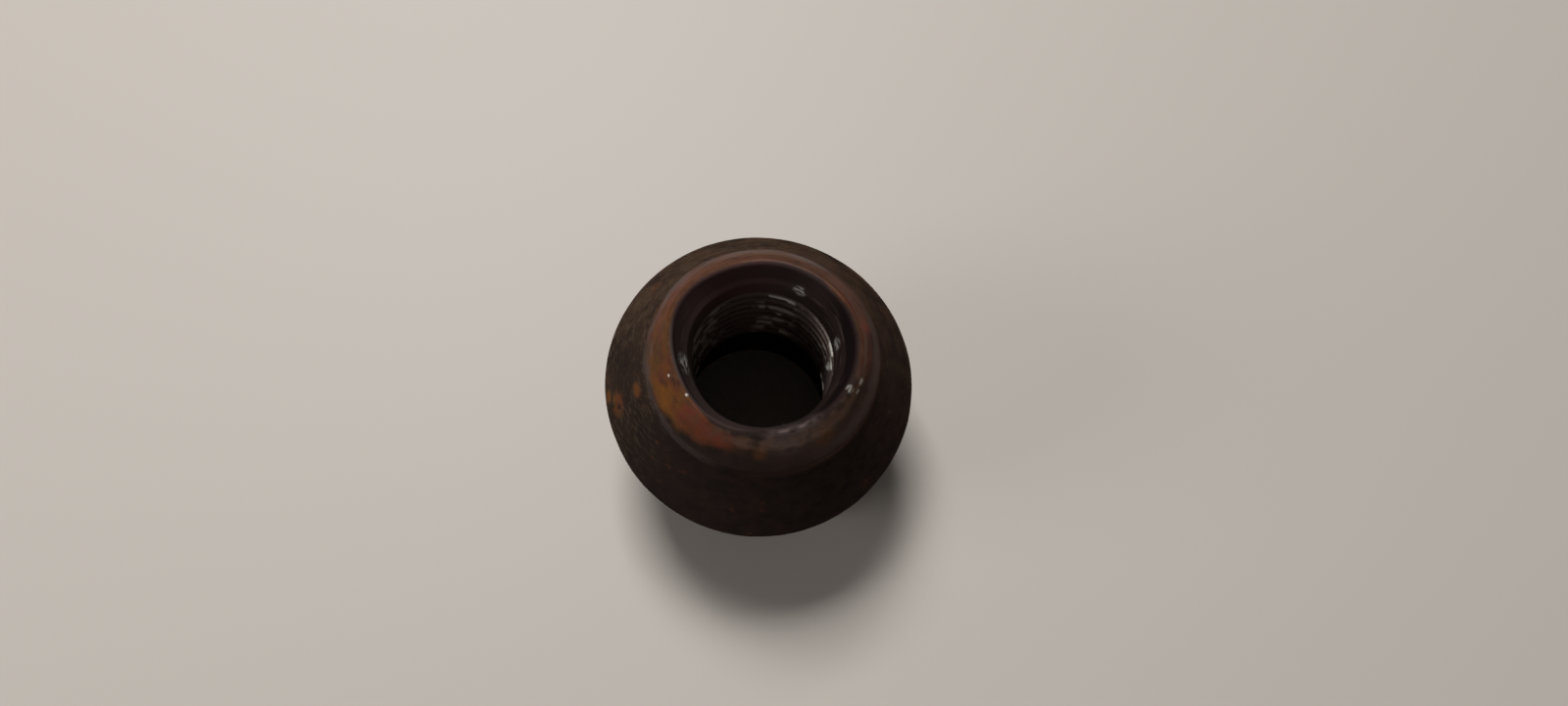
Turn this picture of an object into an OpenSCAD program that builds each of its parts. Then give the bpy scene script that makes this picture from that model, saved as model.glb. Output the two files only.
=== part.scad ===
// Open-ended wheel lug nut: a conical seat with a short nose, on a hexagonal
// wrenching end. It is one forged and tapped piece.
// It stands on the hex end with its axis on Z, and the stud enters at the nose.

/* [Overall] */
// Height from the hex end face to the top of the lip
nut_h = 25.4; // [20:0.1:40]

/* [Seat cone] */
// Diameter of the land round the foot of the cone, the widest place
seat_d = 28.4; // [24.6:0.1:36]
// Included angle of the cone that centres the wheel
seat_angle = 60; // [50:1:90]
// Height of the land
land_h = 1.8; // [1.2:0.1:4]
// Rounding of the land's two edges
land_round = 0.5; // [0.1:0.05:0.8]

/* [Nose] */
// Width of the nose, from the mouth out to the ridge above the seat cone
nose_w = 2.45; // [1.6:0.05:3.2]
// Slope of the nose from level
nose_slope = 52.5; // [35:0.5:60]
// Height of the short upright wall that the wheel's seat has left under the ridge
ridge_h = 0.6; // [0.4:0.05:1.2]
// Rounding of the ridge
ridge_round = 0.4; // [0.1:0.05:0.6]
// Hollow where the wall meets the seat cone
neck_round = 1.4; // [0.4:0.1:1.4]
// Rounding of the lip round the mouth
lip_round = 0.45; // [0.1:0.05:0.7]

/* [Bore] */
// Nominal size of the metric thread
thread_d = 14; // [10:0.5:17]
// Pitch of the thread
thread_pitch = 1.5; // [1:0.25:2]
// Length of the thread, with the lead
thread_len = 13; // [6:0.1:20]
// Height of the tapered lead in which the first turn runs out
lead_h = 1.4; // [0.5:0.1:3]
// Depth of the lead's taper, on the radius
lead_depth = 0.3; // [0.1:0.05:0.6]
// How much wider than the thread the mouth is at the lip, on the diameter
mouth_clear = 1.5; // [0.5:0.1:2.5]
// Included angle of the mouth
mouth_angle = 54; // [40:1:90]
// How much wider than the thread the plain recess at the hex end is
recess_clear = 0.6; // [0.2:0.1:2]
// Chamfer round the foot of the recess
recess_chamfer = 0.6; // [0.2:0.1:1]

/* [Hex end] */
// Size across the flats
hex_af = 21; // [18:0.5:25.5]
// Rounding of the six upright corners
hex_round = 0.9; // [0.2:0.1:2]
// Slope of the underside, from the hex out to the land
under_slope = 35; // [10:1:45]
// Width of the flat ring on the end face, outside the recess and its chamfer
face_w = 2.2; // [1.2:0.1:2.6]
// Slope of the chamfer outside that ring, which trims the six corners
corner_slope = 30; // [15:1:45]

/* [Hidden] */
$fn = 96;

// Minor diameter of a basic 60 degree thread: five eighths of its sharp
// height, cos(30) times the pitch, comes off on each side.
minor_d = thread_d - 2 * 5 / 8 * cos(30) * thread_pitch;
// How far a cutting shape runs past the face that it opens
past = 1;

// Bore, from the lip down
mouth_r = (thread_d + mouth_clear) / 2;
lead_r = minor_d / 2 + lead_depth;
recess_r = (thread_d + recess_clear) / 2;
mouth_tan = tan(mouth_angle / 2);
lead_tan = lead_depth / lead_h;

// The nose and the mouth meet in a sharp apex. Its rounding lowers the lip to
// nut_h, by an amount set by the apex's half angle and its lean.
apex_half = (90 + mouth_angle / 2 - nose_slope) / 2;
apex_lean = (90 - mouth_angle / 2 - nose_slope) / 2;
apex_z = nut_h + lip_round * (cos(apex_lean) / sin(apex_half) - 1);
lead_z = apex_z - (mouth_r - lead_r) / mouth_tan;
thread_z = lead_z - thread_len;

// Outside, from the ridge down
ridge_r = mouth_r + nose_w;
ridge_z = apex_z - nose_w * tan(nose_slope);
seat_r = seat_d / 2;
neck_z = ridge_z - ridge_h;
land_top_z = neck_z - (seat_r - ridge_r) / tan(seat_angle / 2);
land_z = land_top_z - land_h;

// Hex end
under_r = hex_af / 2 - past;
under_z = land_z - (seat_r - under_r) * tan(under_slope);
face_r = recess_r + recess_chamfer + face_w;

// Reach of a corner's wedge and size of its circle, as shares of its radius
WEDGE = 1.25;
HAIR = 1.001;

function unit(v) = v / norm(v);

// What the rounding of one corner takes off or fills in: a wedge from the
// centre of the circle that touches both sides, less that circle. The circle
// is a hair larger, so that it crosses the sides cleanly.
module corner(before, at, after, r) {
    u = unit(before - at);
    v = unit(after - at);
    half = acos(u * v) / 2;
    centre = at + unit(u + v) * r / sin(half);
    rim = [at + u * r / tan(half), at, at + v * r / tan(half)];
    difference() {
        polygon([centre, for (p = rim) centre + WEDGE * (p - centre)]);
        translate(centre) circle(r * HAIR);
    }
}

// An outline from rows of [x, y, rounding]. A rounding above zero takes an
// outer corner off, and one below zero fills an inner corner.
module outline(rows) {
    n = len(rows);
    points = [for (row = rows) [row.x, row.y]];
    module corners(side)
        for (i = [0 : n - 1])
            if (rows[i][2] * side > 0)
                corner(points[(i + n - 1) % n], points[i], points[(i + 1) % n],
                       abs(rows[i][2]));
    difference() {
        union() {
            polygon(points);
            corners(-1);
        }
        corners(1);
    }
}

// Seat cone and nose, turned in one profile from the underside to the mouth.
// The bore, cut later, trims the foot of the mouth's cone.
module seat_and_nose() {
    mouth_foot_r = minor_d / 2 - past;
    mouth_foot_z = apex_z - (mouth_r - mouth_foot_r) / mouth_tan;
    rotate_extrude()
        outline([
            [0, under_z, 0],
            [under_r, under_z, 0],
            [seat_r, land_z, land_round],
            [seat_r, land_top_z, land_round],
            [ridge_r, neck_z, -neck_round],
            [ridge_r, ridge_z, ridge_round],
            [mouth_r, apex_z, lip_round],
            [mouth_foot_r, mouth_foot_z, 0],
            [0, mouth_foot_z, 0],
        ]);
}

// Hex end: a prism with rounded corners, trimmed at the end face by a cone.
// The cone leaves the curved scallops that every wrenched nut shows.
module hex_end() {
    hex_r = hex_af / 2 / cos(30);
    trim_r = hex_r + past;
    intersection() {
        linear_extrude(land_z)
            outline([for (i = [0 : 5])
                [hex_r * cos(60 * i), hex_r * sin(60 * i), hex_round]]);
        rotate_extrude()
            polygon([
                [0, 0],
                [face_r, 0],
                [trim_r, (trim_r - face_r) * tan(corner_slope)],
                [trim_r, land_z + past],
                [0, land_z + past],
            ]);
    }
}

// Bore: lead, thread at its minor diameter, and the wider plain recess below
// the last turn. The thread itself is too fine to build here.
module bore() {
    recess_top_z = thread_z - (recess_r - minor_d / 2);
    foot_r = recess_r + recess_chamfer;
    rotate_extrude()
        polygon([
            [0, -past],
            [foot_r + past, -past],
            [recess_r, recess_chamfer],
            [recess_r, recess_top_z],
            [minor_d / 2, thread_z],
            [minor_d / 2, lead_z - lead_h],
            [lead_r + past * lead_tan, lead_z + past],
            [0, lead_z + past],
        ]);
}

module lug_nut() {
    color("#3a2a20")
        difference() {
            union() {
                seat_and_nose();
                hex_end();
            }
            bore();
        }
}

lug_nut();
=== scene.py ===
# %% [markdown]
# # A used wheel lug nut
# A lug nut holds a road wheel on its hub. This one is forged in one piece: a hexagon for the wrench at the
# bottom, a cone that centres the wheel above it, and a short nose round the mouth of a threaded bore. Years
# on a car have left it brown-black, with orange rust on the nose and bright steel where other parts rub.
#
# The measured model is loaded first and never changed. Everything below is built round it, in metres, in
# its frame: the nut stands on the table at the origin, and its axis is Z.

# %% Load the measured model
import math

import bmesh
import bpy
import numpy as np
from mathutils import Matrix, Vector


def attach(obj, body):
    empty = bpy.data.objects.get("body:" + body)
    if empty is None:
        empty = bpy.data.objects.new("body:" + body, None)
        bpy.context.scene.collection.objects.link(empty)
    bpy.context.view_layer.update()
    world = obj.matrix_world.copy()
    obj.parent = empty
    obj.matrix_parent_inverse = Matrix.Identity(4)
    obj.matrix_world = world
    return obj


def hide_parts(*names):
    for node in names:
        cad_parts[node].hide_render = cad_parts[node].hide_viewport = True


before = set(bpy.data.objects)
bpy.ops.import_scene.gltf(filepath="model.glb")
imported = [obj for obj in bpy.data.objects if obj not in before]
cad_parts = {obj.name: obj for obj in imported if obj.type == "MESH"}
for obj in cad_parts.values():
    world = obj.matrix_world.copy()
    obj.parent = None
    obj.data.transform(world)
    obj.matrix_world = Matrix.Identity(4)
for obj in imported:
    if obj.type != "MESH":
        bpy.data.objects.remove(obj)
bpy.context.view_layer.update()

MM = 0.001

# %% [markdown]
# ## Sizes
# A few sizes drive the shape, as on a drawing, and the rest is worked out from them, from the lip down.
# They are the measured model's own, so that both stay one shape. The thread is taken to be M14x1.5, and
# that sets the scale of all the rest.

# %% Driving sizes, in mm and radians
NUT_H = 25.4  # from the table to the top of the lip
SEAT_R, LAND_H = 14.2, 1.8  # the land round the foot of the cone, the widest place
SEAT_HALF = math.radians(30)  # half the angle of the cone
NOSE_W, NOSE_SLOPE = 2.45, math.radians(52.5)  # from the mouth out to the ridge, and its slope from level
RIDGE_H = 0.6  # the short upright wall under the ridge
LIP_ROUND = 0.45  # radius of the lip's rounding
THREAD_R, PITCH, THREAD_LEN = 7.0, 1.5, 13.0  # the full radius, and the length with the lead
LEAD_H, LEAD_DEPTH = 1.4, 0.3  # the lead, a taper in which the first turn runs out
MOUTH_CLEAR, MOUTH_HALF = 0.75, math.radians(27)  # wider than the thread at the lip, and half its angle
RECESS_CLEAR, RECESS_CHAMFER = 0.3, 0.6  # the plain recess at the hexagon's end, wider than the thread
HEX_FLAT = 10.5  # from the axis to a flat of the hexagon
FACE_W = 2.2  # the flat ring that the nut stands on
UNDER_SLOPE, CORNER_SLOPE = math.radians(35), math.radians(30)  # from level

# %% Radii and heights that follow from them, in mm
# The crests of a 60 degree thread stand five eighths of its sharp height inside its full radius.
CREST_R = THREAD_R - 5 / 8 * math.cos(math.radians(30)) * PITCH
LEAD_R = CREST_R + LEAD_DEPTH
MOUTH_R = THREAD_R + MOUTH_CLEAR
RIDGE_R = MOUTH_R + NOSE_W
RECESS_R = THREAD_R + RECESS_CLEAR
FACE_R = RECESS_R + RECESS_CHAMFER + FACE_W

# Mouth and nose would meet in a sharp apex, which the rounding of the lip brings down to NUT_H.
APEX_HALF = (math.pi / 2 + MOUTH_HALF - NOSE_SLOPE) / 2
APEX_LEAN = (math.pi / 2 - MOUTH_HALF - NOSE_SLOPE) / 2
APEX = NUT_H + LIP_ROUND * (math.cos(APEX_LEAN) / math.sin(APEX_HALF) - 1)
LEAD_TOP = APEX - (MOUTH_R - LEAD_R) / math.tan(MOUTH_HALF)
THREAD_TOP, THREAD_FOOT = LEAD_TOP - LEAD_H, LEAD_TOP - THREAD_LEN
RECESS_TOP = THREAD_FOOT - (RECESS_R - CREST_R)
RIDGE_Z = APEX - NOSE_W * math.tan(NOSE_SLOPE)
NECK_Z = RIDGE_Z - RIDGE_H
LAND_TOP = NECK_Z - (SEAT_R - RIDGE_R) / math.tan(SEAT_HALF)
LAND_FOOT = LAND_TOP - LAND_H
UNDER_FOOT = LAND_FOOT - (SEAT_R - HEX_FLAT) * math.tan(UNDER_SLOPE)
print("the land lies from", round(LAND_FOOT, 2), "to", round(LAND_TOP, 2), "mm above the table")

# %% [markdown]
# ## The camera
# The nut is seen from close above, so near parts look larger than far ones, as with a wide lens close by.
# The camera is placed by one point of the nut, the middle of the mouth's foot: where it lies as the camera
# sees it, and which way the nut's axis leans there, settle the rest. This beats turning the camera by
# trial.

# %% Place the camera
LENS = 26  # mm, on the usual sensor, 36 mm wide
LOOK_DOWN = math.radians(73)  # how far below level the camera looks
AXIS_LEAN = math.radians(12.15)  # how far the nut's axis leans to the right, as the camera sees it
MOUTH_FOOT = Vector((0, 0, LEAD_TOP)) * MM
MOUTH_FOOT_SEEN = Vector((-1.74, -0.15, -96.85)) * MM  # to the right, up and back, from the lens


def place_camera():
    """A camera that sees the mouth's foot at its place, with the nut's axis leaning as it should."""
    axis = Vector((math.sin(AXIS_LEAN) * math.cos(LOOK_DOWN),
                   math.cos(AXIS_LEAN) * math.cos(LOOK_DOWN), math.sin(LOOK_DOWN)))
    right = (Vector((1, 0, 0)) - axis.x * axis).normalized()
    turn = Matrix((right, axis.cross(right), axis))
    camera = bpy.data.objects.new("camera", bpy.data.cameras.new("camera"))
    camera.data.lens = LENS
    camera.data.clip_start = 5 * MM
    camera.matrix_world = Matrix.Translation(MOUTH_FOOT - turn @ MOUTH_FOOT_SEEN) @ turn.to_4x4()
    bpy.context.scene.collection.objects.link(camera)
    bpy.context.scene.camera = camera
    return camera


camera = place_camera()
print("camera", [round(c / MM, 1) for c in camera.location], "mm from the foot of the axis")

# %% [markdown]
# ## Helpers for node trees
# Geometry Nodes and materials are both trees of small calculations. These helpers add one node each and
# give back what it works out, so that a tree reads from top to bottom like sums on paper.


# %% Helpers that add one node each
def feed(tree, socket, value):
    """Gives an input its value: another node's output, or a constant."""
    if isinstance(value, bpy.types.NodeSocket):
        tree.links.new(value, socket)
    elif value is not None:
        socket.default_value = value


def node(tree, kind, fed=(), **settings):
    """Adds a node, with its settings, and feeds its inputs, which are picked by name or by number."""
    made = tree.nodes.new(kind)
    for name, value in settings.items():
        setattr(made, name, value)
    for socket, value in dict(fed).items():
        feed(tree, made.inputs[socket], value)
    return made


def calc(tree, operation, *values):
    """One sum."""
    return node(tree, "ShaderNodeMath", enumerate(values), operation=operation).outputs[0]


def vector(tree, operation, *values, gives="Vector"):
    """One sum with vectors. It gives a vector, or a number if that is what it works out."""
    return node(tree, "ShaderNodeVectorMath", enumerate(values), operation=operation).outputs[gives]


def noise(tree, place, seed, scale, detail):
    """Soft random lumps in space, from 0 to 1. Each seed gives another pattern."""
    fed = {"Vector": place, "W": seed, "Scale": scale, "Detail": detail}
    return node(tree, "ShaderNodeTexNoise", fed, noise_dimensions="4D").outputs["Fac"]


def ramp(tree, value, start, end, low=0.0, high=1.0):
    """Goes smoothly from low to high while value goes from start to end, and stays there."""
    fed = {"Value": value, "From Min": start, "From Max": end, "To Min": low, "To Max": high}
    return node(tree, "ShaderNodeMapRange", fed, interpolation_type="SMOOTHSTEP").outputs[0]


# %% [markdown]
# ## The outline of the nut
# Cut the nut in half through its axis, and the cut face shows one closed outline: up the bore, over the
# lip, down the nose and the cone, round the widest land and back under to the hexagon. Each row below is a
# corner of it, with the radius that rounds it and how far apart points may lie up to the next corner. The
# thread and the nose get the closest points, because they show the finest shapes.
#
# The radii and heights are the measured model's own. The ridge is rounder here, from wear, and the hollow
# under it tighter to make room.

# %% Corners of the outline, in mm
OUTLINE = (  # radius, height, rounding, step
    (FACE_R, 0, 0, 0.3),
    (RECESS_R + RECESS_CHAMFER, 0, 0.15, 0.2),
    (RECESS_R, RECESS_CHAMFER, 0.15, 0.4),
    (RECESS_R, RECESS_TOP, 0.1, 0.12),
    (CREST_R, THREAD_FOOT, 0, 0.11),
    (CREST_R, THREAD_TOP, 0, 0.1),
    (LEAD_R, LEAD_TOP, 0.3, 0.1),
    (MOUTH_R, APEX, LIP_ROUND, 0.1),
    (RIDGE_R, RIDGE_Z, 0.8, 0.1),
    (RIDGE_R, NECK_Z, 1.2, 0.18),
    (SEAT_R, LAND_TOP, 0.5, 0.18),
    (SEAT_R, LAND_FOOT, 0.5, 0.2),
    (HEX_FLAT, UNDER_FOOT, 0, 0.2),
)


def rounded(corners):
    """Walks along the corners and returns [radius, height] points, with each corner rounded by an arc."""
    arc_step = 0.09  # mm between points on an arc
    walk = [Vector(corners[0][:2])]
    for before, at, after in zip(corners, corners[1:], corners[2:] + (None,)):
        here = Vector(at[:2])
        arc = [here]
        if after and at[2]:
            u = (Vector(before[:2]) - here).normalized()
            v = (Vector(after[:2]) - here).normalized()
            half = u.angle(v) / 2
            reach = at[2] / math.tan(half)
            centre = here + (u + v).normalized() * at[2] / math.sin(half)
            first, last = here + u * reach - centre, here + v * reach - centre
            count = max(3, round(at[2] * first.angle(last) / arc_step))
            arc = [centre + first.slerp(last, i / count) * at[2] for i in range(count + 1)]
        start, steps = walk[-1], max(1, math.ceil((arc[0] - walk[-1]).length / before[3]))
        walk += [start.lerp(arc[0], i / steps) for i in range(1, steps + 1)] + arc[1:]
    return np.array([tuple(p) for p in walk])


turned = rounded(OUTLINE)
print(len(turned), "points up the bore, over the lip and down to the hexagon")

# %% [markdown]
# ## Rows for the hexagon
# The hexagon isn't round, so its rows hold it between two radii. Under the land it sticks out of a cone, so
# the cone gives the least radius. Near the table a second cone trims its corners and gives the most radius.
# Everywhere else the two radii are the same and the row is a plain circle. One rule then covers the whole
# nut.


# %% Put the rows in an outline mesh
def outline_mesh():
    """A line of vertices at [radius, 0, height]. Attributes hold each row's least radius, its length from
    the lip in mm, below zero down the bore, and whether it may follow the hexagon or carry thread."""
    trim = 1.4  # mm, the height in which the corners are trimmed, and which gets closer rows
    wall_rows, trim_rows = 18, 13
    heights = np.concatenate([np.linspace(UNDER_FOOT, trim, wall_rows + 1)[1:],
                              np.linspace(trim, 0, trim_rows + 1)[1:]])
    wall = np.column_stack([FACE_R + heights / math.tan(CORNER_SLOPE), heights])
    rows = np.concatenate([turned, wall])
    steps = np.linalg.norm(np.diff(turned, axis=0), axis=1)
    along = np.concatenate([[0], np.cumsum(steps)])
    along = np.concatenate([along, along[-1] + UNDER_FOOT - heights])
    along -= along[np.argmax(rows[:, 1])]
    still_round = 0.3  # mm of the underside, below the land
    under = (along > 0) & (rows[:, 1] < LAND_FOOT - still_round) & (rows[:, 1] >= UNDER_FOOT)
    on_wall = np.arange(len(rows)) >= len(turned)
    least = np.where(on_wall, 0, rows[:, 0])
    most = np.where(under, 2 * SEAT_R, rows[:, 0])
    bored = (along < 0) & (rows[:, 1] > RECESS_TOP - 0.01)

    mesh = bpy.data.meshes.new("outline")
    mesh.from_pydata([(r * MM, 0, z * MM) for r, z in zip(most, rows[:, 1])],
                     [(i, i + 1) for i in range(len(rows) - 1)], [])
    kept = {"least": least * MM, "from_lip": along, "hexed": under | on_wall, "bored": bored}
    for name, values in kept.items():
        mesh.attributes.new(name, "FLOAT", "POINT").data.foreach_set("value", values.astype(np.float32))
    return mesh


outline = outline_mesh()
print(len(outline.vertices), "rows in all")

# %% [markdown]
# ## The tree that turns the outline into a nut
# A lathe turns a bar while the tool follows one outline, and a tap then cuts a helix in the bore. The tree
# does the same. It starts from a flat grid with one row for each point of the outline and one column for
# each small turn, and bends it round the axis. The radius follows three rules: the outline, the hexagon,
# and the groove of the thread, whose height grows with the angle as on any screw. Geometry Nodes suit this,
# since every shape here is a rule, and its sizes stay open to change.

# %% Sizes that the tree reads
TURN = 2 * math.pi
NUT_INPUTS = {
    "Columns": ("NodeSocketInt", 264),
    "Hexagon Flat": ("NodeSocketFloat", HEX_FLAT * MM),
    "Corner Blend": ("NodeSocketFloat", 0.81 * MM),  # gives corners of about 0.9 mm radius
    "Edge Wear": ("NodeSocketFloat", 0.3 * MM),
    "Pitch": ("NodeSocketFloat", PITCH * MM),
    "Crest Radius": ("NodeSocketFloat", CREST_R * MM),
    "Thread Depth": ("NodeSocketFloat", (THREAD_R - CREST_R) * MM),
    "Thread Starts": ("NodeSocketFloat", 22.5 * MM),  # within the taper
    "Forging Swell": ("NodeSocketFloat", 0.045 * MM),
    "Seed": ("NodeSocketFloat", 3.0),
    "Finish": ("NodeSocketMaterial", None),
}


def hexagon_radius(tree, angle, flat, blend):
    """From the axis to the hexagon: the nearer of two neighbouring flats, blended where they meet."""
    near = calc(tree, "PINGPONG", calc(tree, "ADD", angle, TURN + TURN / 12), TURN / 12)
    far = calc(tree, "SUBTRACT", TURN / 6, near)
    reach = [calc(tree, "DIVIDE", flat, calc(tree, "COSINE", side)) for side in (near, far)]
    return calc(tree, "SMOOTH_MIN", *reach, blend)


# Shares of the pitch, from the middle of a groove: where its flank ends at the crest, and where at the bottom
FLANK_TOP, FLANK_FOOT = 3 / 8, 1 / 16
FULL_AFTER = 1.4  # turns below the mouth at which the groove has its whole depth


def groove_depth(tree, angle, height, size):
    """How deep the thread's groove is, and its profile, from 0 at a crest to 1 at the bottom."""
    turns_up = calc(tree, "DIVIDE", height, size["Pitch"])
    climb = calc(tree, "SUBTRACT", turns_up, calc(tree, "DIVIDE", angle, TURN))
    above_zero = calc(tree, "ADD", climb, 2.0)  # two whole turns more, so that it is never negative
    from_middle = calc(tree, "PINGPONG", above_zero, 0.5)
    profile = ramp(tree, from_middle, FLANK_TOP, FLANK_FOOT)
    below = calc(tree, "SUBTRACT", size["Thread Starts"], height)
    grown = ramp(tree, calc(tree, "DIVIDE", below, size["Pitch"]), 0.0, FULL_AFTER)
    return calc(tree, "MULTIPLY", calc(tree, "MULTIPLY", profile, grown), size["Thread Depth"]), profile


# %% [markdown]
# A forged surface is never quite even, so the outside swells in and out by a few hundredths of a
# millimetre. The bore is cut and stays true, and so does the face that the nut stands on.


# %% Unevenness of the forging
LUMP = 3.5  # mm across
SWELL_FROM_LIP = (-3.0, 0.5)  # mm from the lip, from down in the bore to just outside, over which it comes in
SWELL_HEIGHTS = (0.2, 2)  # mm above the table, the same


def stored(tree, name):
    """The value that a mesh in this tree carries under a name."""
    fed = {"Name": name}
    return node(tree, "GeometryNodeInputNamedAttribute", fed, data_type="FLOAT").outputs["Attribute"]


def forging_swell(tree, place, size):
    """How far each point moves in or out."""
    lumps = noise(tree, place, size["Seed"], 1 / (LUMP * MM), 2.0)
    both_ways = calc(tree, "MULTIPLY", size["Forging Swell"], 2.0)
    lumps = calc(tree, "MULTIPLY", calc(tree, "SUBTRACT", lumps, 0.5), both_ways)
    lumps = calc(tree, "MULTIPLY", lumps, ramp(tree, stored(tree, "from_lip"), *SWELL_FROM_LIP))
    height = node(tree, "ShaderNodeSeparateXYZ", {0: place}).outputs["Z"]
    lumps = calc(tree, "MULTIPLY", lumps, ramp(tree, height, *(z * MM for z in SWELL_HEIGHTS)))
    out = node(tree, "GeometryNodeInputNormal").outputs[0]  # inwards, until the faces are flipped
    fed = {0: out, "Scale": calc(tree, "MULTIPLY", lumps, -1.0)}
    return node(tree, "ShaderNodeVectorMath", fed, operation="SCALE").outputs[0]


# %% [markdown]
# The next function is the tree itself. `row` and `column` come from a vertex's number in the grid. A row
# reads its point of the outline by number, so the rows can be as close or as far apart as the outline wants
# them.


# %% Build the tree
SEAM = 0.001  # mm, within which the first and the last column count as one


def nut_tree():
    tree = bpy.data.node_groups.new("turned_and_tapped_nut", "GeometryNodeTree")
    tree.interface.new_socket("Outline", in_out="INPUT", socket_type="NodeSocketGeometry")
    for name, (kind, value) in NUT_INPUTS.items():
        socket = tree.interface.new_socket(name, in_out="INPUT", socket_type=kind)
        if value is not None:
            socket.default_value = value
    tree.interface.new_socket("Nut", in_out="OUTPUT", socket_type="NodeSocketGeometry")
    size = tree.nodes.new("NodeGroupInput").outputs

    rows = node(tree, "GeometryNodeAttributeDomainSize", {0: size["Outline"]}).outputs["Point Count"]
    columns = calc(tree, "ADD", size["Columns"], 1)
    grid = node(tree, "GeometryNodeMeshGrid", {"Vertices X": columns, "Vertices Y": rows})
    number = node(tree, "GeometryNodeInputIndex").outputs[0]
    column = calc(tree, "FLOOR", calc(tree, "DIVIDE", calc(tree, "ADD", number, 0.5), rows))
    row = calc(tree, "SUBTRACT", number, calc(tree, "MULTIPLY", column, rows))
    angle = calc(tree, "MULTIPLY", calc(tree, "DIVIDE", column, size["Columns"]), TURN)

    def of_row(value, kind="FLOAT"):
        """Reads a value at this row's point of the outline."""
        fed = {"Geometry": size["Outline"], "Value": value, "Index": row}
        return node(tree, "GeometryNodeSampleIndex", fed, data_type=kind).outputs["Value"]

    place = node(tree, "GeometryNodeInputPosition").outputs[0]
    point = node(tree, "ShaderNodeSeparateXYZ", {0: of_row(place, "FLOAT_VECTOR")}).outputs
    most, height, least = point["X"], point["Z"], of_row(stored(tree, "least"))
    hexed, bored = of_row(stored(tree, "hexed")), of_row(stored(tree, "bored"))
    from_lip = of_row(stored(tree, "from_lip"))

    hexagon = hexagon_radius(tree, angle, size["Hexagon Flat"], size["Corner Blend"])
    held = calc(tree, "SMOOTH_MIN", hexagon, most, size["Edge Wear"])
    held = calc(tree, "SMOOTH_MAX", held, least, size["Edge Wear"])
    radius = node(tree, "ShaderNodeMix", {"Factor": hexed, "A": most, "B": held}).outputs[0]

    groove, profile = groove_depth(tree, angle, height, size)
    tapped = calc(tree, "MULTIPLY", calc(tree, "ADD", size["Crest Radius"], groove), bored)
    radius = calc(tree, "MAXIMUM", radius, tapped)

    across = calc(tree, "MULTIPLY", radius, calc(tree, "COSINE", angle))
    away = calc(tree, "MULTIPLY", radius, calc(tree, "SINE", angle))
    bent = node(tree, "ShaderNodeCombineXYZ", {"X": across, "Y": away, "Z": height}).outputs[0]
    fed = {"Geometry": grid.outputs["Mesh"], "Position": bent}
    nut = node(tree, "GeometryNodeSetPosition", fed).outputs[0]

    # The grid's first and last columns meet, and become one before anything asks for normals there.
    crest = calc(tree, "MULTIPLY", calc(tree, "SUBTRACT", 1.0, profile), bored)
    for name, value in (("from_lip", from_lip), ("crest", crest)):
        fed = {"Geometry": nut, "Name": name, "Value": value}
        store = node(tree, "GeometryNodeStoreNamedAttribute", fed, data_type="FLOAT", domain="POINT")
        nut = store.outputs[0]
    nut = node(tree, "GeometryNodeMergeByDistance", {"Geometry": nut, "Distance": SEAM * MM}).outputs[0]

    fed = {"Geometry": nut, "Offset": forging_swell(tree, place, size)}
    nut = node(tree, "GeometryNodeSetPosition", fed).outputs[0]
    nut = node(tree, "GeometryNodeFlipFaces", {0: nut}).outputs[0]
    nut = node(tree, "GeometryNodeSetShadeSmooth", {"Geometry": nut}).outputs[0]
    nut = node(tree, "GeometryNodeRealizeInstances", {"Geometry": nut}).outputs[0]
    nut = node(tree, "GeometryNodeSetMaterial", {"Geometry": nut, "Material": size["Finish"]}).outputs[0]
    node(tree, "NodeGroupOutput", {0: nut})
    return tree


tree = nut_tree()
print(len(tree.nodes), "nodes in the tree")

# %% [markdown]
# A tree works as a modifier on an object. The finished nut has to be a plain mesh, because the steps after
# this one move its vertices, and what other programs read is a mesh as well. So the next function hangs the
# tree on a helper object, keeps what comes out, and throws the helper away.


# %% Run the tree and keep plain geometry
def grow(name, mesh, tree, **sizes):
    """Evaluates the tree on a mesh and returns a plain object that holds the result."""
    source = bpy.data.objects.new(name + "_source", mesh)
    bpy.context.scene.collection.objects.link(source)
    modifier = source.modifiers.new("tree", "NODES")
    modifier.node_group = tree
    for item in tree.interface.items_tree:
        if item.in_out == "INPUT" and item.name in sizes:
            modifier[item.identifier] = sizes[item.name]
    bpy.context.view_layer.update()
    evaluated = source.evaluated_get(bpy.context.evaluated_depsgraph_get())
    grown = bpy.data.meshes.new_from_object(evaluated)
    source.modifiers.clear()
    bpy.data.objects.remove(source)
    piece = bpy.data.objects.new(name, grown)
    grown.name = name
    bpy.context.scene.collection.objects.link(piece)
    return piece
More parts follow.
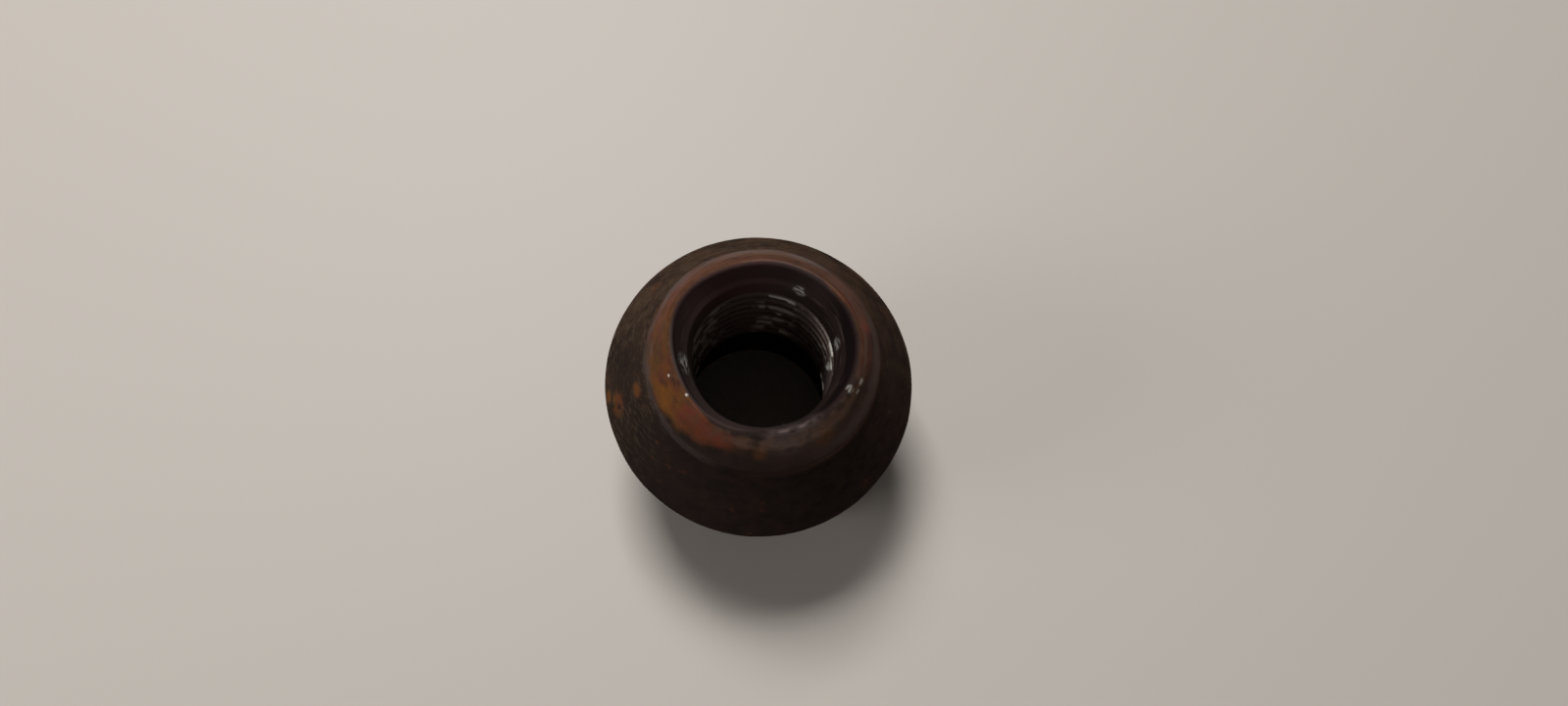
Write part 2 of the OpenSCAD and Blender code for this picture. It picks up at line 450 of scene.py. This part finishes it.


# %% [markdown]
# ## The finish
# Heat, oil and weather leave a forged steel part brown-black and dull. Where the nut turned against the
# wheel, the ridge is rubbed to a lilac grey, which also carries a painted highlight. The nose above it rusted
# orange, most of all on one side, and the bore stays oily. The crests of the thread carry bright scratches
# from the stud, which also serve as painted glints. Some colour stands in for light: painted shade on the
# near side and inside the mouth, painted light on the mouth's far wall. One material holds all of this,
# because each finish fades into the next. Its masks read the length from the lip that the outline left on
# the mesh, and the place on the nut, so that nothing slides when the camera moves.

# %% Colours, as linear red, green and blue
# Some colours also stand in for light: soot is painted shade on the near side, the darkest brown painted
# shade in the mouth, the mouth brown painted light on its far wall, and the rubbed grey and the two steels
# painted highlights and glints as well as wear.
SOOT_AND_SHADE = (0.0190, 0.0132, 0.0118, 1)
UMBER = (0.054, 0.0320, 0.0205, 1)
OLIVE_GREY = (0.085, 0.060, 0.039, 1)
RED_RUST = (0.120, 0.037, 0.021, 1)
AMBER_RUST = (0.130, 0.052, 0.016, 1)
ORANGE_RUST = (0.170, 0.066, 0.014, 1)
BLOOD_RUST = (0.150, 0.036, 0.022, 1)
WORN_BROWN = (0.100, 0.057, 0.040, 1)
NECK_BROWN = (0.072, 0.040, 0.031, 1)
RUBBED_GREY_AND_SHEEN = (0.100, 0.075, 0.069, 1)
PAINTED_SHADE_DARK = (0.016, 0.0095, 0.0095, 1)
OILY_BROWN = (0.080, 0.054, 0.048, 1)
MOUTH_BROWN = (0.150, 0.080, 0.074, 1)
THREAD_BROWN = (0.150, 0.108, 0.092, 1)
WORN_STEEL_AND_SHEEN = (0.200, 0.155, 0.125, 1)
BRIGHT_STEEL_AND_GLINT = (0.80, 0.76, 0.69, 1)


# %% [markdown]
# A mask is a number from 0 to 1 at each point of the surface, and says where a finish lies. Real patches of
# rust have no edge that a ruler could draw, so a mask is mostly some noise, cut off at a level, times
# something that knows the place: the length from the lip, the side of the nut, or the distance from a spot.
# Noise in the space of the nut has no seam, and needs no unwrapping. Sides are angles round the axis,
# anticlockwise from X: in the main view about 80 degrees is the far side, 170 the left, 260 the near side
# and 350 the right.


# %% Helpers for masks
def place_on_nut(tree):
    return node(tree, "ShaderNodeTexCoord").outputs["Object"]


def from_mesh(tree, name):
    return node(tree, "ShaderNodeAttribute", attribute_name=name).outputs["Fac"]


def clouds(tree, size, detail, seed):
    """Soft random patches about this many mm across, from 0 to 1."""
    return noise(tree, place_on_nut(tree), seed, 1 / (size * MM), detail)


def patches(tree, size, seed, least, full, detail=3.0):
    """Clouds with edges: 0 where they are thin and 1 where they are thick."""
    return ramp(tree, clouds(tree, size, detail, seed), least, full)


def level_place(tree):
    """The place on the nut, brought down to the table."""
    return vector(tree, "MULTIPLY", place_on_nut(tree), (1, 1, 0))


def way_out(tree):
    """The level direction from the axis, one long."""
    return vector(tree, "NORMALIZE", level_place(tree))


def streaks(tree, along, across, seed, least, full, detail=2.0):
    """Patches drawn out round the nut: this many mm long, and this many mm wide from the lip down."""
    stretch = RIDGE_R / along
    round_it = vector(tree, "MULTIPLY", way_out(tree), (stretch, stretch, 0))
    down = calc(tree, "DIVIDE", from_mesh(tree, "from_lip"), across)
    down = node(tree, "ShaderNodeCombineXYZ", {"Z": down}).outputs[0]
    drawn_out = noise(tree, vector(tree, "ADD", round_it, down), seed, 1.0, detail)
    return ramp(tree, drawn_out, least, full)


def facing(tree, degrees, least, full, low=0.0, high=1.0):
    """From low on the far side of the nut to high on the side that lies at this angle from X."""
    way = (math.cos(math.radians(degrees)), math.sin(math.radians(degrees)), 0)
    along = vector(tree, "DOT_PRODUCT", way_out(tree), way, gives="Value")
    return ramp(tree, along, least, full, low, high)


def between(tree, value, low, high, soft):
    """1 from low to high, with soft ends."""
    rise = ramp(tree, value, low - soft, low + soft)
    return times(tree, rise, ramp(tree, value, high + soft, high - soft))


def spot(tree, degrees, radius, height, size):
    """1 at a point of the nut, given in degrees and mm, and 0 beyond size."""
    a = math.radians(degrees)
    point = Vector((radius * math.cos(a), radius * math.sin(a), height)) * MM
    away = vector(tree, "DISTANCE", place_on_nut(tree), point, gives="Value")
    return ramp(tree, away, size * MM, 0.3 * size * MM)


def times(tree, *masks):
    """All the masks together."""
    product = masks[0]
    for mask in masks[1:]:
        product = calc(tree, "MULTIPLY", product, mask)
    return product


def either(tree, *masks):
    """The strongest of the masks."""
    most = masks[0]
    for mask in masks[1:]:
        most = calc(tree, "MAXIMUM", most, mask)
    return most


def coat(tree, under, mask, over):
    """Covers a colour with another where the mask is 1."""
    return node(tree, "ShaderNodeMix", {0: mask, 6: under, 7: over}, data_type="RGBA").outputs[2]


def change(tree, under, mask, over):
    """Changes a number to another where the mask is 1."""
    return node(tree, "ShaderNodeMix", {0: mask, 2: under, 3: over}).outputs[0]


# %% [markdown]
# The outside first: soot and umber share the steel, a fine olive dust lies on the side that saw more
# weather, and the lower parts carry rust where the coating chipped. The soot also serves as painted shade:
# its share grows towards the near side, which the lamps leave in shade, and umber takes the lit far side.


# %% Patina of the cone and the hexagon
RUST_SPOTS = (  # angle, radius, height, size
    (193, 11.2, 20.3, 1.0),
    (193, 13.1, 16.9, 1.5),
    (188, 13.9, 15.6, 0.8),
)


def patina(tree, length):
    hidden = either(tree, ramp(tree, length, 14.3, 16.0), ramp(tree, length, -16.0, -17.0))
    # Painted shade: soot takes over towards the near side, which lies in shade, and umber holds the lit far
    # side.
    share = times(tree, patches(tree, 2.4, 1, 0.25, 0.62, 4),
                  either(tree, facing(tree, 95, -0.75, 0.9, 0.1, 1.0), times(tree, hidden, 0.55)))
    colour = coat(tree, SOOT_AND_SHADE, share, UMBER)
    weather = either(tree, facing(tree, 140, -0.1, 0.7), times(tree, hidden, 0.45))
    dust = times(tree, streaks(tree, 0.6, 0.3, 3, 0.45, 0.7, 3), weather, 0.6)
    colour = coat(tree, colour, dust, OLIVE_GREY)
    colour = coat(tree, colour, times(tree, spot(tree, 180, 12.0, 18.8, 4.5), 0.55), SOOT_AND_SHADE)
    colour = coat(tree, colour, times(tree, patches(tree, 0.3, 21, 0.55, 0.7, 2), 0.5), SOOT_AND_SHADE)
    flecks = times(tree, streaks(tree, 0.7, 0.3, 23, 0.6, 0.75, 4), facing(tree, 20, -0.1, 0.7), 0.55)
    colour = coat(tree, colour, flecks, OLIVE_GREY)
    mottle = times(tree, patches(tree, 1.3, 34, 0.35, 0.65, 4), facing(tree, 310, -0.2, 0.6), 0.16)
    colour = coat(tree, colour, mottle, NECK_BROWN)
    freckles = times(tree, patches(tree, 1.5, 8, 0.62, 0.74, 4), ramp(tree, length, 5.0, 6.0), 0.4)
    flakes = times(tree, patches(tree, 3.2, 27, 0.54, 0.64, 5), hidden, 0.6)
    chips = either(tree, *[spot(tree, *place) for place in RUST_SPOTS])
    chips = times(tree, chips, patches(tree, 0.9, 6, 0.3, 0.6), 0.8)
    colour = coat(tree, colour, either(tree, freckles, flakes, chips), rust(tree))
    foot = times(tree, between(tree, length, 14.2, 14.6, 0.15), facing(tree, 215, 0.1, 0.8), 0.8)
    return coat(tree, colour, times(tree, foot, patches(tree, 1.0, 14, 0.3, 0.6)), rust(tree))


def rust(tree):
    amber = times(tree, streaks(tree, 1.9, 1.1, 9, 0.34, 0.6, 5), facing(tree, 192, 0.7, 0.98, 0.25, 1.0))
    mixed = coat(tree, RED_RUST, amber, AMBER_RUST)
    return coat(tree, mixed, facing(tree, 15, -0.2, 0.8, 0.0, 0.35), SOOT_AND_SHADE)


# %% [markdown]
# The nose next. Its rust runs from the lip down to the ridge on the weather side, and shrinks to a band
# below the lip on the near side. The rubbed grey of the ridge, partly wear and partly a painted highlight, is
# wide on the far side and a thin line round the near one.


# %% Masks of the nose and the bore
STAINS = (  # angle, radius, height, size, colour, strength
    (206, 9.2, 23.8, 1.5, ORANGE_RUST, 0.8),
    (180, 9.3, 23.7, 3.0, UMBER, 0.6),
    (222, 8.5, 24.8, 1.3, BLOOD_RUST, 0.7),
    (234, 8.5, 24.8, 1.3, BLOOD_RUST, 0.8),
    (246, 8.6, 24.7, 1.2, BLOOD_RUST, 0.8),
    (14, 8.9, 24.3, 1.5, BLOOD_RUST, 0.8),
    (8, 9.3, 23.8, 1.4, SOOT_AND_SHADE, 0.7),
    (268, 8.9, 24.3, 0.9, ORANGE_RUST, 0.25),
    (305, 8.9, 24.3, 1.4, ORANGE_RUST, 0.2),
)


def stain(tree, colour, mask):
    """Lays each stain over the colour, where the mask lets it."""
    for *place, tint, strength in STAINS:
        ragged = either(tree, streaks(tree, 1.1, 0.5, 34, 0.3, 0.6, 4), 0.45)
        colour = coat(tree, colour, times(tree, spot(tree, *place), ragged, mask, strength), tint)
    return colour


def nose_masks(tree, length):
    wander = calc(tree, "MULTIPLY", calc(tree, "SUBTRACT", clouds(tree, 1.1, 4, 2), 0.5), 1.3)
    ragged = calc(tree, "ADD", length, wander)  # the length from the lip, with a wandering edge
    sides = either(tree, facing(tree, 185, 0.15, 0.65), facing(tree, 22, 0.74, 0.92))
    sides = either(tree, sides, facing(tree, 100, -0.2, 0.7, 0.0, 0.7))
    far = facing(tree, 78, 0.6, 0.95, 0.0, 0.7)
    reach = calc(tree, "SUBTRACT", facing(tree, 125, -0.9, 0.3, 1.7, 3.3), far)
    start = either(tree, facing(tree, 285, 0.3, 0.9, -0.3, 0.5), facing(tree, 350, 0.5, 0.9, -0.3, 0.1))
    rusted = times(tree, ramp(tree, calc(tree, "SUBTRACT", ragged, reach), 0.5, -0.5), sides,
                   ramp(tree, calc(tree, "SUBTRACT", length, start), -0.2, 0.2),
                   streaks(tree, 1.8, 0.9, 15, 0.2, 0.5, 4))
    worn = times(tree, between(tree, ragged, 0.45, 1.4, 0.3), facing(tree, 280, 0.3, 0.9),
                 streaks(tree, 1.3, 0.6, 25, 0.2, 0.55, 3))
    worn_right = times(tree, between(tree, ragged, 0.4, 1.1, 0.35), facing(tree, 338, 0.6, 0.9, 0.0, 0.9))
    worn = either(tree, worn, worn_right)
    crust = times(tree, between(tree, length, -0.1, 0.35, 0.2), facing(tree, 165, 0.3, 0.9), 0.6)
    rusted = calc(tree, "SUBTRACT", rusted, times(tree, rusted, crust))
    inner = facing(tree, 105, -0.2, 0.8, 3.2, 2.1)
    # Rubbed grey on the ridge, which is also its painted highlight.
    rubbed_and_sheen = times(tree, ramp(tree, calc(tree, "SUBTRACT", ragged, inner), -0.4, 0.5),
                   ramp(tree, calc(tree, "ADD", length, far), 3.8, 3.2),
                   facing(tree, 120, -0.2, 0.7, 0.0, 0.75),
                   streaks(tree, 3.0, 0.7, 16, 0.3, 0.62, 3))
    # Rubbed grey and painted highlight, as a faint band on the right.
    right = times(tree, between(tree, ragged, 2.4, 3.5, 0.5), facing(tree, 345, 0.5, 0.95), 0.3)
    # Rubbed grey and painted highlight, as a thin line round the ridge on the near left.
    line = times(tree, between(tree, length, 3.5, 4.6, 0.25), facing(tree, 210, 0.7, 0.97),
                 streaks(tree, 2.5, 1.0, 29, 0.3, 0.5, 3), 0.45)
    above_neck = times(tree, between(tree, length, 1.5, 4.0, 0.5), 0.4)
    neck = either(tree, above_neck, between(tree, length, 3.6, 4.5, 0.6))
    neck = times(tree, neck, facing(tree, 355, -0.3, 0.9, 0.0, 0.95))
    return rusted, worn, either(tree, rubbed_and_sheen, right, line), neck


def bore_masks(tree, length):
    # Where the mouth's brown ends, in mm from the lip: down the bore at the right, and over the lip far away
    edge = calc(tree, "ADD", facing(tree, 330, 0.1, 0.7, 0.0, -0.45),
                facing(tree, 75, 0.8, 0.97, 0.0, 0.18))
    mouth = ramp(tree, calc(tree, "SUBTRACT", length, edge), 0.05, -0.3)
    mouth = times(tree, mouth, ramp(tree, length, -17.0, -16.0))
    near = facing(tree, 265, 0.2, 0.8, 0.45, 0.0)
    near = either(tree, near, facing(tree, 352, 0.3, 0.9))
    # Painted shade: the upper mouth wall is darker all round but on the near side, most of all on the right,
    # where it lies in shade.
    dark = times(tree, between(tree, length, -1.9, -0.2, 0.25), near)
    dark = either(tree, dark, times(tree, mouth, facing(tree, 345, -0.1, 0.8, 0.0, 0.75)))
    dark = times(tree, dark, ramp(tree, length, -5.0, -4.0, 0.35, 1.0))
    # Painted shade in the grooves of the thread.
    groove = ramp(tree, from_mesh(tree, "crest"), 0.8, 0.2)
    groove = times(tree, ramp(tree, length, -4.4, -4.9), groove, 0.4)
    # Painted shade: a thin dark line just inside the lip on the left, in the shadow of its edge.
    lip_shadow_line = times(tree, between(tree, length, -0.7, -0.5, 0.1), facing(tree, 198, 0.75, 0.95))
    # Painted highlight: a thin light line along the lip's inner edge on the left.
    line = times(tree, between(tree, length, -0.28, -0.08, 0.08), facing(tree, 186, 0.9, 0.98))
    # Turning marks on the lead, lightened on the right and the left as painted glints.
    arcs = times(tree, between(tree, length, -4.6, -1.3, 0.4),
                 streaks(tree, 3.0, 0.28, 18, 0.56, 0.7, 1), 0.6)
    arcs = times(tree, arcs, either(tree, facing(tree, 20, 0.3, 0.9), facing(tree, 175, 0.6, 0.95)))
    return mouth, either(tree, dark, either(tree, groove, lip_shadow_line)), either(tree, line, arcs)


# %% [markdown]
# A wrench bears on the six corners and the wheel and the bench on the round edges, so those are worn down
# to a grey brown. Distance from the axis tells a corner from a flat.


# %% Mask of the worn edges
def worn_edges(tree, length):
    out = vector(tree, "LENGTH", level_place(tree), gives="Value")
    corners = times(tree, ramp(tree, out, 11.84 * MM, 11.98 * MM), ramp(tree, length, 17.0, 17.6), 0.4)
    trims = times(tree, ramp(tree, out, 11.0 * MM, 11.6 * MM), between(tree, length, 27.6, 28.3, 0.2), 0.5)
    rims = either(tree, between(tree, length, 12.2, 12.6, 0.3), between(tree, length, 14.0, 14.3, 0.2))
    ring = between(tree, length, -28.0, -26.8, 0.3)
    rims = either(tree, times(tree, rims, facing(tree, 50, -0.6, 0.9, 0.05, 0.4)), times(tree, ring, 0.4))
    return times(tree, either(tree, corners, trims, rims), patches(tree, 1.6, 28, 0.3, 0.7, 3))


# %% [markdown]
# The stud left bright marks: scratches along the crests of the thread, a rubbed patch on the near lip, and
# a few nicks down to clean steel. They are kept to the places where light catches them, so they are also
# painted glints.


# %% Bright marks
# Nicks, each placed where the mouth or the lip glints, so they are partly painted glints.
NICKS_AND_GLINTS = (  # angle, radius, height, size, brightness
    (197, 8.35, 25.0, 0.20, 0.6),
    (213, 7.65, 25.4, 0.20, 0.45),
    (334, 7.9, 25.4, 0.50, 0.3),
    (342, 8.5, 24.8, 0.45, 0.3),
    (336, 8.6, 24.7, 0.35, 0.2),
    (11, 6.4, 22.9, 0.80, 0.4),
    (62, 6.6, 23.4, 0.80, 0.6),
    (189, 6.9, 24.0, 1.20, 0.5),
)


def bright_marks_and_glints(tree, length):
    crest = ramp(tree, from_mesh(tree, "crest"), 0.7, 0.95)
    # Painted glints: the scratches show only on the sides where light catches the crests.
    side = either(tree, facing(tree, 4, 0.95, 0.985), times(tree, facing(tree, 78, 0.93, 0.99), 0.9))
    side = either(tree, side, times(tree, facing(tree, 35, 0.7, 0.9), 0.15),
                  times(tree, facing(tree, 148, 0.85, 0.98), 0.5))
    scratches_and_glints = times(tree, crest, ramp(tree, length, -4.2, -4.9),
                      streaks(tree, 2.2, 1.5, 7, 0.48, 0.58, 1), side)
    nicks_and_glints = 0.0
    for *place, brightness in NICKS_AND_GLINTS:
        nicks_and_glints = calc(tree, "MAXIMUM", times(tree, spot(tree, *place), brightness), nicks_and_glints)
    return either(tree, scratches_and_glints, times(tree, nicks_and_glints, streaks(tree, 0.9, 0.25, 17, 0.4, 0.58, 1)))


# %% [markdown]
# The coats go on in the order in which life laid them: patina, rust, wear, oil and the last scratches, with
# the painted shade, highlights and glints among them. Bare and oily metal mirrors the room a little, so the
# masks of those coats also set how metallic and how smooth the surface is. The patina itself is quite dull
# and gets no gloss at all. A fine bump stands for the grain of the forging.


# %% The whole finish
def patina_and_rust():
    material = bpy.data.materials.new("patina_and_rust")
    material.use_nodes = True
    tree = material.node_tree
    shader = tree.nodes["Principled BSDF"]
    length = from_mesh(tree, "from_lip")
    rusted, worn, rubbed_and_sheen, neck = nose_masks(tree, length)
    mouth, dark, pale = bore_masks(tree, length)
    edges = worn_edges(tree, length)
    bright = bright_marks_and_glints(tree, length)
    # A rubbed patch on the near lip, lightened further as a painted highlight.
    slid_and_sheen = times(tree, either(tree, spot(tree, 284, 7.3, 24.9, 2.6), spot(tree, 297, 7.2, 24.8, 2.2)),
                 streaks(tree, 1.4, 0.6, 19, 0.3, 0.6), 0.58)
    rubbed_and_sheen = either(tree, rubbed_and_sheen, slid_and_sheen, pale)

    colour = coat(tree, patina(tree, length), neck, NECK_BROWN)
    colour = coat(tree, colour, rusted, rust(tree))
    dull_rust = times(tree, rusted, streaks(tree, 1.6, 0.7, 26, 0.52, 0.66, 4), 0.55)
    colour = coat(tree, colour, dull_rust, UMBER)
    colour = coat(tree, colour, times(tree, rusted, facing(tree, 85, 0.3, 0.9), 0.35), WORN_BROWN)
    colour = coat(tree, colour, worn, WORN_BROWN)
    colour = stain(tree, colour, ramp(tree, length, 0.1, 0.4))
    colour = coat(tree, colour, mouth, OILY_BROWN)
    # Painted light: the mouth is lighter on its far wall, which faces away from the lamps.
    far_mouth_painted_light = times(tree, mouth, facing(tree, 120, 0.7, 1.0, 0.0, 0.7))
    colour = coat(tree, colour, far_mouth_painted_light, MOUTH_BROWN)
    colour = coat(tree, colour, between(tree, length, -16.5, -4.4, 0.4), THREAD_BROWN)
    # Painted shade in the mouth and in the thread's grooves.
    colour = coat(tree, colour, dark, PAINTED_SHADE_DARK)
    # Rubbed grey, which also lays the painted highlights and glints.
    colour = coat(tree, colour, rubbed_and_sheen, RUBBED_GREY_AND_SHEEN)
    # Painted sheen: a light grey band on the far side of the nose, where light glints.
    shine = times(tree, between(tree, length, 1.4, 2.8, 0.4), facing(tree, 88, 0.8, 0.97), 0.22)
    colour = coat(tree, colour, shine, WORN_STEEL_AND_SHEEN)
    colour = coat(tree, colour, times(tree, edges, 0.8), WORN_STEEL_AND_SHEEN)
    colour = coat(tree, colour, bright, BRIGHT_STEEL_AND_GLINT)
    feed(tree, shader.inputs["Base Color"], colour)

    film = either(tree, times(tree, rusted, 0.3), times(tree, mouth, 0.5), times(tree, rubbed_and_sheen, 0.5))
    film = change(tree, change(tree, film, edges, 0.6), bright, 0.3)
    feed(tree, shader.inputs["Metallic"], film)
    rough = ramp(tree, clouds(tree, 0.8, 3, 11), 0.3, 0.7, 0.55, 0.75)
    rough = change(tree, rough, rusted, 0.45)
    rough = change(tree, rough, either(tree, mouth, rubbed_and_sheen, edges), 0.36)
    feed(tree, shader.inputs["Roughness"], rough)
    shader.inputs["Specular IOR Level"].default_value = 0.0

    height = calc(tree, "ADD", clouds(tree, 0.3, 3, 12), times(tree, clouds(tree, 1.2, 4, 13), 1.5))
    height = times(tree, height, calc(tree, "SUBTRACT", 1.0, times(tree, mouth, 0.6)))
    bump = node(tree, "ShaderNodeBump", {"Height": height, "Distance": 0.03 * MM, "Strength": 0.6})
    feed(tree, shader.inputs["Normal"], bump.outputs[0])
    return material


finish = patina_and_rust()
print(len(finish.node_tree.nodes), "nodes in the finish")

# %% [markdown]
# ## The nut
# Now the outline, the tree and the finish come together in one mesh. Its box should be the measured
# model's.

# %% Grow the nut
nut = grow("nut", outline, tree, Finish=finish)
print("the nut is", [round(s / MM, 2) for s in nut.dimensions], "mm")

# %% [markdown]
# ## An uneven mouth
# Every time the nut went on at a slant, the stud hit the mouth and pushed its edge about. A lathe's rule
# can't make that, so a few named blows move the vertices near the lip in or out, each over a part of the
# circle.

# %% Wear the mouth out of round
BLOWS = (  # angle round the mouth, half width in degrees, mm outwards
    (150, 24, 0.60),
    (205, 16, -0.12),
    (282, 34, -0.45),
    (10, 30, 0.30),
)
REACH_OUT, REACH_IN = 1.4, 1.9  # mm from the lip, down the nose and down the bore, to half a blow's effect


def bell(x, half_width):
    """1 where x is zero, and a half at the half width."""
    return np.exp(-(x / half_width) ** 2 * math.log(2))


def wear_mouth(piece):
    mesh = piece.data
    place = np.empty(len(mesh.vertices) * 3)
    mesh.vertices.foreach_get("co", place)
    place = place.reshape(-1, 3)
    length = np.empty(len(mesh.vertices))
    mesh.attributes["from_lip"].data.foreach_get("value", length)
    angle = np.degrees(np.arctan2(place[:, 1], place[:, 0]))
    shift = np.zeros(len(place))
    for middle, width, out in BLOWS:
        apart = (angle - middle + 180) % 360 - 180
        shift += out * MM * bell(apart, width)
    shift *= np.where(length > 0, bell(length, REACH_OUT), bell(length, REACH_IN))
    radius = np.hypot(place[:, 0], place[:, 1])
    place[:, :2] *= (1 + shift / radius)[:, None]
    mesh.vertices.foreach_set("co", place.ravel())
    mesh.update()
    return float(np.abs(shift).max() / MM)


print("the blows move the lip by up to", round(wear_mouth(nut), 2), "mm")

# %% [markdown]
# A printed volume is a quick test of a mesh: above zero, its faces point outwards, and with no open edges
# it is closed. The real nut holds a little less metal than the measured model, since its thread is cut
# here.


# %% Test the mesh
def volume(mesh):
    """The space inside a mesh, above zero if its faces point outwards, and the number of its open edges."""
    shell = bmesh.new()
    shell.from_mesh(mesh)
    inside = shell.calc_volume(signed=True)
    open_edges = sum(not e.is_manifold for e in shell.edges)
    shell.free()
    return inside, open_edges


inside, open_edges = volume(nut.data)
print(len(nut.data.polygons), "faces,", round(inside / MM**3), "cubic mm,", open_edges, "open edges")

# %% [markdown]
# ## Floor, lamps and sky
# The nut stands on a pale bench top. A soft lamp high behind it, a little to the left, throws the short
# shadow towards the viewer. A weak lamp low on the left picks out the thread through the mouth. The sky
# fills the shadows, and is dark overhead, as under somebody who leans over the bench.


# %% Floor, lamps and sky
def plain_floor():
    mesh = bpy.data.meshes.new("floor")
    half = 1.5  # metres
    corners = [(-half, -half, 0), (half, -half, 0), (half, half, 0), (-half, half, 0)]
    mesh.from_pydata(corners, [], [(0, 1, 2, 3)])
    material = bpy.data.materials.new("pale_bench_top")
    material.use_nodes = True
    shader = material.node_tree.nodes["Principled BSDF"]
    shader.inputs["Base Color"].default_value = (0.55, 0.50, 0.45, 1)
    shader.inputs["Roughness"].default_value = 0.6
    mesh.materials.append(material)
    floor = bpy.data.objects.new("floor", mesh)
    bpy.context.scene.collection.objects.link(floor)


def softbox(name, azimuth, elevation, distance, size, share):
    """A square lamp, in degrees and metres, that gives the table this share of its light."""
    lamp = bpy.data.lights.new(name, "AREA")
    lamp.size = size
    lamp.energy = share * math.pi**2 * distance**2 / math.sin(math.radians(elevation))
    holder = bpy.data.objects.new(name, lamp)
    a, e = math.radians(azimuth), math.radians(elevation)
    back = Vector((math.cos(a) * math.cos(e), math.sin(a) * math.cos(e), math.sin(e)))
    holder.location = back * distance
    holder.rotation_mode = "QUATERNION"
    holder.rotation_quaternion = back.to_track_quat("Z", "Y")
    bpy.context.scene.collection.objects.link(holder)


def sky():
    """A pale sky near the horizon, darker overhead, where something above the nut keeps light off."""
    world = bpy.data.worlds.new("sky")
    bpy.context.scene.world = world
    world.use_nodes = True
    tree = world.node_tree
    way = node(tree, "ShaderNodeTexCoord").outputs["Generated"]
    up = node(tree, "ShaderNodeSeparateXYZ", {0: way}).outputs["Z"]
    light = tree.nodes["Background"].inputs
    light["Color"].default_value = (1.0, 0.97, 0.94, 1)
    feed(tree, light["Strength"], ramp(tree, up, 0.1, 0.95, 0.19, 0.05))


plain_floor()
softbox("key", azimuth=110, elevation=62, distance=0.6, size=0.20, share=0.74)
softbox("side", azimuth=192, elevation=28, distance=0.7, size=0.30, share=0.11)
sky()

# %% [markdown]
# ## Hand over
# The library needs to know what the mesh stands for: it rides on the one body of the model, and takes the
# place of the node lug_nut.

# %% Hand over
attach(nut, "root")
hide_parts("lug_nut")

bpy.context.scene.view_settings.view_transform = "Standard"
